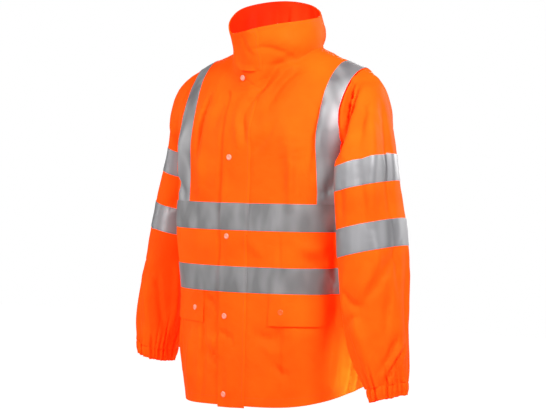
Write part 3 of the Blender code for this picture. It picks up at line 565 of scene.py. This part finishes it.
def mapCloth(piece):  # a map that follows the cloth: round the piece, and up it
    mesh = piece.data
    points = readOf(mesh.vertices, "co", 3)
    centre = np.zeros((len(points), 2))
    if "leeve" in piece.name or "uff" in piece.name:
        bends = 2 if piece.name.endswith("sleeveCloth") else 0  # a sleeve's middle moves on its way down
        for axis in (0, 1):
            centre[:, axis] = np.polyval(np.polyfit(points[:, 2], points[:, axis], bends), points[:, 2])
    away = points[:, :2] - centre
    radius = np.hypot(away[:, 0], away[:, 1])
    angle = np.arctan2(away[:, 0], -away[:, 1])
    corners = readOf(mesh.loops, "vertex_index", 1, np.int32).ravel()
    turn = angle[corners].reshape(-1, 4)
    turn = turn[:, :1] + np.angle(np.exp(1j * (turn - turn[:, :1])))
    up = (points[:, 2] - radius)[corners]
    mapped = np.stack((turn.ravel() * radius.mean(), up), axis=1)
    layer = mesh.uv_layers.new(name="cloth")
    layer.uv.foreach_set("vector", mapped.ravel().astype(np.float32))


def feed(tree, node, inputs):  # an input gets a value, or what comes from a node's output
    for key, value in inputs.items():
        if isinstance(value, tuple) and isinstance(value[0], bpy.types.Node):
            tree.links.new(value[0].outputs[value[1]], node.inputs[key])
        else:
            node.inputs[key].default_value = value


def addNode(tree, kind, inputs=None, **settings):
    node = tree.nodes.new("ShaderNode" + kind)
    for key, value in settings.items():
        setattr(node, key, value)
    feed(tree, node, inputs or {})
    return node


def newMaterial(name, look):  # a material with its uniform values on the shader's own sockets
    made = bpy.data.materials.new(name)
    made.use_nodes = True
    shader = made.node_tree.nodes["Principled BSDF"]
    feed(made.node_tree, shader, look)
    return made, made.node_tree, shader


def bump(tree, *layers):  # layers of relief: where it comes from, its strength and its height
    relief = {}
    for source, strength, distance in layers:
        relief = {"Height": source, "Strength": strength, "Distance": distance, **relief}
        relief = {"Normal": (addNode(tree, "Bump", relief), "Normal")}
    return relief


def smoothRange(tree, source, span, low, high):  # from low to high over a span
    values = {"Value": source, "From Min": span[0], "From Max": span[1], "To Min": low, "To Max": high}
    return addNode(tree, "MapRange", values, interpolation_type="SMOOTHSTEP")


def rampOf(tree, source, low, high, start, end):
    ramp = addNode(tree, "ValToRGB", {"Fac": source})
    for element, position, colour in zip(ramp.color_ramp.elements, (start, end), (low, high)):
        element.position, element.color = position, (*colour, 1.0)
    return ramp, "Color"


clothLook = {
    "low": (0.98, 0.082, 0.0035),
    "high": (1.0, 0.116, 0.0050),
    "glow": (1.0, 0.010, 0.001),  # a constant red glow: partly the dye's fluorescence, partly painted light that keeps shaded cloth red
    "glowStrength": 0.48,
    "roughness": 0.58,
    "weave": 520.0,
    "crumple": 27.0,
    "crumpleHeight": 0.0055,
}


def clothMaterial(name, look):
    # coated polyester: slow colour drift, small crumple, and a fine weave from the piece's own map
    surface = {"Roughness": look["roughness"], "Specular IOR Level": 0.015}
    # the red emission glows the same in light and in shade: painted light that keeps shaded cloth red
    glow = {"Emission Color": (*look["glow"], 1.0), "Emission Strength": look["glowStrength"]}
    made, tree, shader = newMaterial(name, {**surface, **glow})
    place = addNode(tree, "TexCoord")
    slow = {"Vector": (place, "Object"), "Scale": 9.0, "Detail": 3.0, "Roughness": 0.5}
    tint = rampOf(tree, (addNode(tree, "TexNoise", slow), "Fac"), look["low"], look["high"], 0.32, 0.70)
    small = {"Scale": look["crumple"], "Detail": 4.0, "Roughness": 0.52, "Distortion": 0.5}
    crumple = addNode(tree, "TexNoise", {"Vector": (place, "Object"), **small})
    yarn = {"Vector": (place, "UV"), "Scale": look["weave"], "Distortion": 0.5, "Detail": 1.0}
    threads = [(addNode(tree, "TexWave", yarn, bands_direction=way), "Fac") for way in "XY"]
    weave = addNode(tree, "Math", dict(enumerate(threads)), operation="MAXIMUM")
    relief = bump(tree, ((crumple, "Fac"), 0.4, look["crumpleHeight"]), ((weave, "Value"), 0.35, 0.00006))
    feed(tree, shader, {"Base Color": tint, **relief})
    return made


def tapeMaterial(name, look):
    # silver tape: long soft streaks and slanting wrinkles over a fine bead grain; the streaks also turn the
    # silver lighter and darker, a painted reflection
    made, tree, shader = newMaterial(name, {"Metallic": look["metallic"], "Specular IOR Level": 0.5})
    place = addNode(tree, "TexCoord")
    turned = {"Rotation": (0.0, 0.0, math.radians(look["turn"])), "Scale": (*look["stretch"], 1.0)}
    slant = addNode(tree, "Mapping", {"Vector": (place, "UV"), **turned})
    streaks = {"Scale": 1.0, "Detail": 1.0, "Roughness": 0.4, "Distortion": 0.2}
    streak = addNode(tree, "TexNoise", {"Vector": (slant, "Vector"), **streaks})
    glossy = {"From Min": 0.3, "From Max": 0.7, "To Min": 0.58, "To Max": 0.48}
    gloss = addNode(tree, "MapRange", {"Value": (streak, "Fac"), **glossy})
    beads = addNode(tree, "TexVoronoi", {"Vector": (place, "Object"), "Scale": 1700.0})
    relief = bump(tree, ((streak, "Fac"), 0.5, look["wrinkle"]), ((beads, "Distance"), 0.22, 0.00007))
    # the silver's lighter and darker streaks are painted reflection
    shade = rampOf(tree, (streak, "Fac"), look["low"], look["high"], 0.34, 0.66)
    feed(tree, shader, {"Base Color": shade, "Roughness": (gloss, "Result"), **relief})
    return made


def plainMaterial(name, colour, roughness, grainScale, glow=0.0):  # moulded plastic or sewing thread; its glow is an emission in its own colour that keeps it bright in shade: painted light
    look = {"Roughness": roughness, "Emission Color": (*colour, 1.0), "Emission Strength": glow}
    made, tree, shader = newMaterial(name, look)
    place = addNode(tree, "TexCoord")
    speckle = addNode(tree, "TexNoise", {"Vector": (place, "Object"), "Scale": grainScale, "Detail": 2.0})
    tint = rampOf(tree, (speckle, "Fac"), [channel * 0.86 for channel in colour], colour, 0.3, 0.7)
    feed(tree, shader, {"Base Color": tint, **bump(tree, ((speckle, "Fac"), 0.15, 0.0001))})
    return made


tapeLook = {"metallic": 0.25, "wrinkle": 0.0012}
wrinklesAndPaintedShade = {  # which way each kind of tape wrinkles, and its darkest and lightest silver; the silvers differ by kind as painted light and shade, lighter where light falls on that kind of tape
    "body": (24, (30.0, 12.0), (0.17, 0.167, 0.17), (0.265, 0.26, 0.265)),
    "brace": (-20, (30.0, 11.0), (0.165, 0.16, 0.168), (0.345, 0.34, 0.348)),
    "sleeve": (0, (22.0, 1.2), (0.15, 0.147, 0.154), (0.29, 0.287, 0.298)),
}
orange = clothMaterial("fluorescentOrange", clothLook)
# a darker, redder copy of the orange for the inside faces: painted shade
shadedInsideLook = {**clothLook, "low": (0.94, 0.014, 0.002), "high": (0.99, 0.034, 0.003)}
shadedInside = clothMaterial("orangeInsidePaintedShade", shadedInsideLook)
silver = {}
for kind, (turn, stretch, low, high) in wrinklesAndPaintedShade.items():
    look = {**tapeLook, "turn": turn, "stretch": stretch, "low": low, "high": high}
    silver[kind] = tapeMaterial(kind + "Tape", look)
# the glow values given below are painted light
capPlastic = plainMaterial("paleSnapPlastic", (0.92, 0.28, 0.20), 0.35, 400.0, 0.10)
clothPlastic = plainMaterial("orangeSnapPlastic", (0.98, 0.10, 0.01), 0.42, 400.0, 0.20)
orangeThread = plainMaterial("orangeThread", (0.85, 0.060, 0.004), 0.75, 900.0, 0.15)
greyThread = plainMaterial("greyThread", (0.24, 0.20, 0.20), 0.70, 900.0)
print("materials")


def settle(piece, slot, *nodes):  # what every finished piece needs
    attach(piece, "root")
    if nodes:
        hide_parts(*nodes)


for number, (node, thickness) in enumerate(thicknesses.items()):
    look = (-thickness, thickness, orange, cloth["seamDip"])
    settle(shell(node + "Cloth", body, body["node"] == number, *look), "cloth", node)
print("panels")

pocketFlap = {"sewn": 0.012, "opening": 0.0022}
onFace = (cloth["lift"], cloth["flapThickness"], orange)


def openingOf(node):  # how far a pocket flap stands off, growing towards its lower edge
    heights = solidOf(node)[0][:, 2]
    start, end = heights.max() - pocketFlap["sewn"], heights.min()
    return lambda points: ease(start, end, points[:, 2]) * pocketFlap["opening"]


overlays = list(layers[0])
for number, node in enumerate(overlays[:-1]):
    chosen = body["over"] == number
    if node in tapeNodes:
        kind = "sleeve" if "sleeve" in node else "brace" if "brace" in node else "body"
        look = (tape["lift"], tape["thickness"], silver[kind], tape["dip"])
        settle(shell(node + "Strip", body, chosen, *look), "tape", node)
    else:
        look = (*onFace, cloth["flapDip"], nowhere, openingOf(node))
        settle(shell(node + "Cloth", body, chosen, *look), "cloth", node)
print("tape and pocket flaps")

stormFlap = {
    "drop": 0.0040,  # it hangs this far below the hem, from a bend this far above its lower end
    "bend": 0.03,
    "edge": 0.004,  # rim points further from the middle than this are on its long edges
    "sewn": {"from": 0.0005, "to": 0.006, "depth": 0.0013},
    "free": {"width": 0.014, "height": 0.0014},
    "dip": 0.0002,
    "tapeLift": 0.0001,
}
# where the free edge stands off most: at which height, over which span and how far
gapes = [(-0.060, 0.022, 0.0045), (-0.300, 0.060, 0.0012), (-0.470, 0.030, 0.0014), (-0.620, 0.050, 0.0016)]
stormOn = body["over"] == len(overlays) - 1
stormPoints = body["points"].copy()
onFlap = np.unique(body["quads"][stormOn])
heights = stormPoints[onFlap, 2]
stormPoints[onFlap, 2] -= stormFlap["drop"] * (1 - ease(0, stormFlap["bend"], heights - heights.min()))
storm = {**body, "points": stormPoints}
rim = stormPoints[np.concatenate(rimChains(body["quads"][stormOn]))]
sewnTree = treeOf(rim[rim[:, 0] > stormFlap["edge"]])
freeTree = treeOf(rim[rim[:, 0] < -stormFlap["edge"]])


def sewnDown(points):  # the flap is thinnest where it is sewn on
    sewn = stormFlap["sewn"]
    return (1 - ease(sewn["from"], sewn["to"], gapsTo(sewnTree, points))) * sewn["depth"]


def gaping(points):  # the free edge stands off a little, most of all under the collar
    height = np.full(len(points), stormFlap["free"]["height"])
    for z, span, most in gapes:
        height += most * np.exp(-(((points[:, 2] - z) / span) ** 2))
    return (1 - ease(0, stormFlap["free"]["width"], gapsTo(freeTree, points))) * height


def onStorm(points):
    return gaping(points) - sewnDown(points)


piece = shell("stormFlapCloth", storm, stormOn, *onFace, stormFlap["dip"], sewnDown, gaping)
settle(piece, "cloth", "storm_flap")
onTop = cloth["lift"] + cloth["flapThickness"]
flapTapeLook = (onTop + stormFlap["tapeLift"], tape["thickness"], silver["body"], tape["dip"])
for number, node in enumerate(flapTape):
    piece = shell(node + "Strip", storm, body["top"] == number, *flapTapeLook, nowhere, onStorm)
    settle(piece, "tape", node)
print("storm flap")


def tiltedPlane(points, side):  # the height of a sleeve's lower end under each point
    rim = rimEdges(body["quads"][body["node"] == panels.index(side + "_sleeve")])
    rim = body["points"][np.unique(rim)]
    rim = rim[rim[:, 2] < cuffs["belowElbow"]]
    flat = np.linalg.lstsq(np.c_[rim[:, :2], np.ones(len(rim))], rim[:, 2], rcond=None)[0]
    return points[:, :2] @ flat[:2] + flat[2]


for side in ("left", "right"):
    cuff = fineSkin({side + "_cuff": cloth["thickness"]}, [], cuffs["shortEdge"])
    rising = cuff["points"][:, 2] - tiltedPlane(cuff["points"], side)
    mouth, tuck = cuffs["mouth"], cuffs["tuck"]
    ragged = 1 - ease(mouth["low"], mouth["even"], rising)
    cuff["points"][:, 2] += ripple(cuff["points"], *cuffs["ragged"]) * ragged
    shaped(cuff, [], [(cuff["node"] == 0, side)])
    inner = ease(tuck["from"], 0.0, rising)
    cuff["points"] -= cuff["normals"] * inner[:, None] * tuck["depth"]
    cuff["points"][:, 2] += inner * tuck["rise"]
    curl = 1 - ease(mouth["low"], mouth["straight"], rising)
    cuff["points"] -= cuff["normals"] * curl[:, None] * mouth["depth"]
    wall = (-cloth["thickness"], cloth["thickness"], orange)
    settle(shell(side + "CuffCloth", cuff, cuff["node"] == 0, *wall), "cloth", side + "_cuff")
print("cuffs")

snapCap = {
    "sides": 32,
    "wall": 0.45,
    "shoulder": ((0.06, 0.22), (0.10, 0.18), (0.12, 0.10), (0.12, 0.0)),  # shares of radius and height
    "dish": ((0.08, 0.0004), (0.25, 0.0001)),
    "sharp": 50,
    "clothColoured": "left_pocket_snap",
}


def buildSnap(node):  # a pressed cap: a low wall, a rounded shoulder and a shallow dish
    points = solidOf(node)[0]
    centre = points.mean(axis=0)
    spread = (points - centre) @ np.linalg.svd(points - centre)[2].T
    radius, height = np.abs(spread[:, 0]).max(), np.ptp(spread[:, 2])
    near = bodyTree.find(centre)[1]
    out = body["normals"][near]
    seat = centre - out * ((centre - body["points"][near]) @ out - onTop)
    bpy.ops.mesh.primitive_circle_add(vertices=snapCap["sides"], radius=radius, fill_type="NGON")
    cap = bpy.context.object
    cap.name = node + "Cap"
    bpy.ops.object.mode_set(mode="EDIT")
    bpy.ops.mesh.select_mode(type="FACE")
    bpy.ops.mesh.select_all(action="SELECT")
    wall = (0.0, 0.0, height * snapCap["wall"])
    bpy.ops.mesh.extrude_region_move(TRANSFORM_OT_translate={"value": wall})
    for inset, rise in snapCap["shoulder"]:
        bpy.ops.mesh.inset(thickness=inset * radius, depth=rise * height)
    for inset, depth in snapCap["dish"]:
        bpy.ops.mesh.inset(thickness=inset * radius, depth=-depth)
    bpy.ops.mesh.select_all(action="SELECT")
    bpy.ops.mesh.normals_make_consistent(inside=False)
    bpy.ops.object.mode_set(mode="OBJECT")
    bpy.ops.object.shade_smooth_by_angle(angle=math.radians(snapCap["sharp"]))
    cap.rotation_euler = Vector(out).to_track_quat("Z", "Y").to_euler()
    cap.location = seat
    bpy.ops.object.transform_apply(location=True, rotation=True, scale=True)
    cap.data.materials.append(clothPlastic if node == snapCap["clothColoured"] else capPlastic)
    settle(cap, "snap", node)


bodyTree = treeOf(body["points"])
for node in sorted(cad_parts):
    if "snap" in node:
        buildSnap(node)
print("snaps")

stitch = {
    "pitch": 0.0034,
    "length": 0.0025,
    "radius": 0.00032,
    "rise": 0.00022,
    "ring": 0.7,  # of its radius and rise
    "clear": 0.88,  # a row stops where another edge is nearer than this share of its inset
    "fewest": 8,  # a shorter run has no row
    "shortestRim": 20,
}


def rowsAlong(skin, chosen, inset, height, keep=None):
    # rows of sewing inside a piece's edge, laid on its face
    rows = []
    for chain in rimChains(skin["quads"][chosen]):
        line, normals = skin["points"][chain], skin["normals"][chain]
        if len(chain) < stitch["shortestRim"] or (keep and not keep(line.mean(axis=0))):
            continue
        ahead = unit(np.roll(line, -1, axis=0) - np.roll(line, 1, axis=0))
        moved = line + np.cross(normals, ahead) * inset
        near = [bodyTree.find(point)[1] for point in moved]
        out = body["normals"][near]
        away = np.sum((moved - body["points"][near]) * out, axis=1)
        laid = moved + out * (height - away)[:, None]
        clear = gapsTo(treeOf(line), moved) > inset * stitch["clear"]
        order = np.roll(np.arange(len(chain)), -int(np.argmin(clear)))
        if clear.all():
            order = np.append(order, order[0])
        for run in np.split(order, np.where(~clear[order])[0]):
            run = run[clear[run]]
            if len(run) > stitch["fewest"]:
                rows.append((laid[run], out[run]))
    return rows


def sew(name, rows, thread, slot="cloth"):  # one small capsule for each stitch
    points, faces = [], []
    angles = [math.pi / 4 + math.pi / 2 * i for i in range(4)]
    ring = [(math.cos(angle) * stitch["ring"], math.sin(angle) * stitch["ring"]) for angle in angles]
    outline = [(reach, *spot) for reach in (-0.3, 0.3) for spot in ring]
    outline = [(-0.5, 0.0, 0.0), *outline, (0.5, 0.0, 0.0)]
    pairs = [(i, (i + 1) % 4) for i in range(4)]
    sides = [(1 + i, 1 + j, 5 + j, 5 + i) for i, j in pairs]
    ends = [(0, 1 + j, 1 + i) for i, j in pairs] + [(9, 5 + i, 5 + j) for i, j in pairs]
    for line, normals in rows:
        steps = np.linalg.norm(np.diff(line, axis=0), axis=1)
        length = np.concatenate(([0], np.cumsum(steps)))
        for place in np.arange(stitch["pitch"] / 2, length[-1], stitch["pitch"]):
            span = min(int(np.searchsorted(length, place)), len(line) - 1)
            along = unit(line[span] - line[span - 1])
            share = (place - length[span - 1]) / max(steps[span - 1], 1e-9)
            centre = line[span - 1] * (1 - share) + line[span] * share
            up = normals[span]
            across = unit(np.cross(up, along))
            first = len(points)
            for reach, side, rise in outline:
                points.append(
                    centre
                    + along * reach * stitch["length"]
                    + across * side * stitch["radius"]
                    + up * rise * stitch["rise"]
                )
            faces.extend(tuple(first + corner for corner in face) for face in sides + ends)
    made = meshFrom(name, points, faces)
    onlySelect(made)
    bpy.ops.object.shade_smooth()
    made.data.materials.append(thread)
    settle(made, slot)
    print(name, len(faces), "faces")


tapeFace = tape["lift"] + tape["thickness"]
insets = {"tape": 0.0022, "stormFlap": 0.0060, "pocketFlap": 0.0050}
seamLift = 0.0001
tapeRows, sleeveTapeRows = [], []
for number, node in enumerate(overlays[:-1]):
    if node in tapeNodes:
        rows = rowsAlong(body, body["over"] == number, insets["tape"], tapeFace)
        (sleeveTapeRows if "sleeve" in node else tapeRows).extend(rows)
for number in range(len(flapTape)):
    tapeRows.extend(rowsAlong(storm, body["top"] == number, insets["tape"], onTop + tapeFace))
sew("bodyTapeStitches", tapeRows, greyThread, "tape")
sew("sleeveTapeStitches", sleeveTapeRows, greyThread, "tape")
flapRows = rowsAlong(storm, stormOn, insets["stormFlap"], onTop)
for name in flaps[:2]:
    chosen = body["over"] == overlays.index(name)
    flapRows.extend(rowsAlong(body, chosen, insets["pocketFlap"], onTop))
sew("flapStitches", flapRows, orangeThread)
onCollar = body["node"] == panels.index("collar")
edges = {  # which faces, how far inside their edge the row runs, and which edge it is
    "hemStitches": (onBody & ~onCollar, 0.018, lambda middle: middle[2] < -0.6),
    "collarStitches": (onCollar, 0.006, lambda middle: middle[2] > 0.0),
    "leftArmholeStitches": (onLeft, 0.004, lambda middle: middle[2] > -0.4),
    "rightArmholeStitches": (onRight, 0.004, lambda middle: middle[2] > -0.4),
}
for name, (chosen, inset, keep) in edges.items():
    sew(name, rowsAlong(body, chosen, inset, seamLift, keep), orangeThread)
print("stitches")

view = {"distance": 5.0, "azimuth": 35.0, "eyeZ": -0.1284, "aimRight": -0.0147, "aimZ": -0.3284}
optics = {"lens": 156.6, "sensor_width": 36.0}


def around(azimuth, distance, height):  # a place round the jacket, with azimuth 0 straight before it
    heading = math.radians(azimuth)
    return Vector((math.sin(heading) * distance, -math.cos(heading) * distance, height))


def facing(place, aim):  # how a camera or a lamp turns to look from a place to its aim
    return (Vector(aim) - Vector(place)).to_track_quat("-Z", "Y").to_euler()


eye = around(view["azimuth"], view["distance"], view["eyeZ"])
aim = around(view["azimuth"] + 90, view["aimRight"], view["aimZ"])
bpy.ops.object.camera_add(location=eye)
camera = bpy.context.object
camera.rotation_euler = facing(eye, aim)
for key, value in optics.items():
    setattr(camera.data, key, value)
bpy.context.scene.camera = camera

studio = {
    "floorZ": -1.45,
    "floorSize": 16.0,
    "plain": (2.2, 4.6),  # the floor turns from grey to glowing white between these distances
    "nearGlow": 0.12,
    "fill": 0.10,  # the sky above and below the white band at eye height
    "bounce": 0.20,  # what the white band and floor give as light; the camera sees them white
    "bandMiddle": 0.04,
    "band": (0.10, 0.17),  # how far from its middle, as a sine, the band begins and ends to fade
    "lampAim": (0.0, 0.0, -0.35),
}


def whiteToCamera(tree, bright, shader, socket):  # full strength for the camera, less as a light
    rays = addNode(tree, "LightPath")
    bounce = {"Value": (rays, "Is Camera Ray"), "To Min": studio["bounce"]}
    share = (addNode(tree, "MapRange", bounce), "Result")
    strength = addNode(tree, "Math", {0: (bright, "Result"), 1: share}, operation="MULTIPLY")
    feed(tree, shader, {socket: (strength, "Value")})


bpy.ops.mesh.primitive_plane_add(size=studio["floorSize"], location=(0.0, 0.0, studio["floorZ"]))
floor = bpy.context.object
floor.name = "studioFloor"
white = (1.0, 1.0, 1.0, 1.0)
floorLook = {"Base Color": (0.86, 0.86, 0.86, 1.0), "Roughness": 0.9, "Emission Color": white}
floorPaint, floorTree, floorShader = newMaterial("studioWhite", floorLook)
place = addNode(floorTree, "TexCoord")
reach = addNode(floorTree, "VectorMath", {0: (place, "Object")}, operation="LENGTH")
glow = smoothRange(floorTree, (reach, "Value"), studio["plain"], studio["nearGlow"], 1.0)
whiteToCamera(floorTree, glow, floorShader, "Emission Strength")
floor.data.materials.append(floorPaint)

world = bpy.data.worlds.new("studioSky")
world.use_nodes = True
sky = world.node_tree
direction = addNode(sky, "TexCoord")
parts = addNode(sky, "SeparateXYZ", {"Vector": (direction, "Generated")})
lifted = addNode(sky, "Math", {0: (parts, "Z"), 1: studio["bandMiddle"]}, operation="ADD")
steep = addNode(sky, "Math", {0: (lifted, "Value")}, operation="ABSOLUTE")
fading = smoothRange(sky, (steep, "Value"), studio["band"], 1.0, studio["fill"])
background = sky.nodes["Background"]
feed(sky, background, {"Color": white})
whiteToCamera(sky, fading, background, "Strength")
bpy.context.scene.world = world
bpy.context.scene.view_settings.view_transform = "Standard"

lamps = tableOf(
    "azimuth height distance size power",
    (62, 0.6, 1.4, 0.4, 33),  # the main light, kept off the near side by the sleeve
    (-12, 1.5, 2.8, 0.8, 76),  # high before the chest
    (165, 0.4, 2.6, 0.9, 40),  # along the near sleeve's outer edge
    (145, -0.8, 2.4, 0.5, 8),  # low, onto the back of the near side
    (-150, 0.8, 3.0, 1.4, 50),  # the back
    (-72, 0.3, 2.8, 1.2, 22),  # the far side
)
for azimuth, height, distance, size, power in zip(*lamps.values()):
    place = around(azimuth, distance, height)
    bpy.ops.object.light_add(type="AREA", location=place)
    lamp = bpy.context.object
    lamp.rotation_euler = facing(place, studio["lampAim"])
    lamp.data.size = size
    lamp.data.energy = power

spot = {  # from below, past the cuff, onto the side folds
    "at": (0.47, -0.27, -1.15),
    "aim": (0.215, -0.045, -0.66),
    "cone": 11.0,
    "blur": 0.7,
    "size": 0.03,
    "power": 60.0,
}
bpy.ops.object.light_add(type="SPOT", location=spot["at"])
lamp = bpy.context.object
lamp.rotation_euler = facing(spot["at"], spot["aim"])
lamp.data.spot_size = math.radians(spot["cone"])
lamp.data.spot_blend = spot["blur"]
lamp.data.shadow_soft_size = spot["size"]
lamp.data.energy = spot["power"]
print("studio")
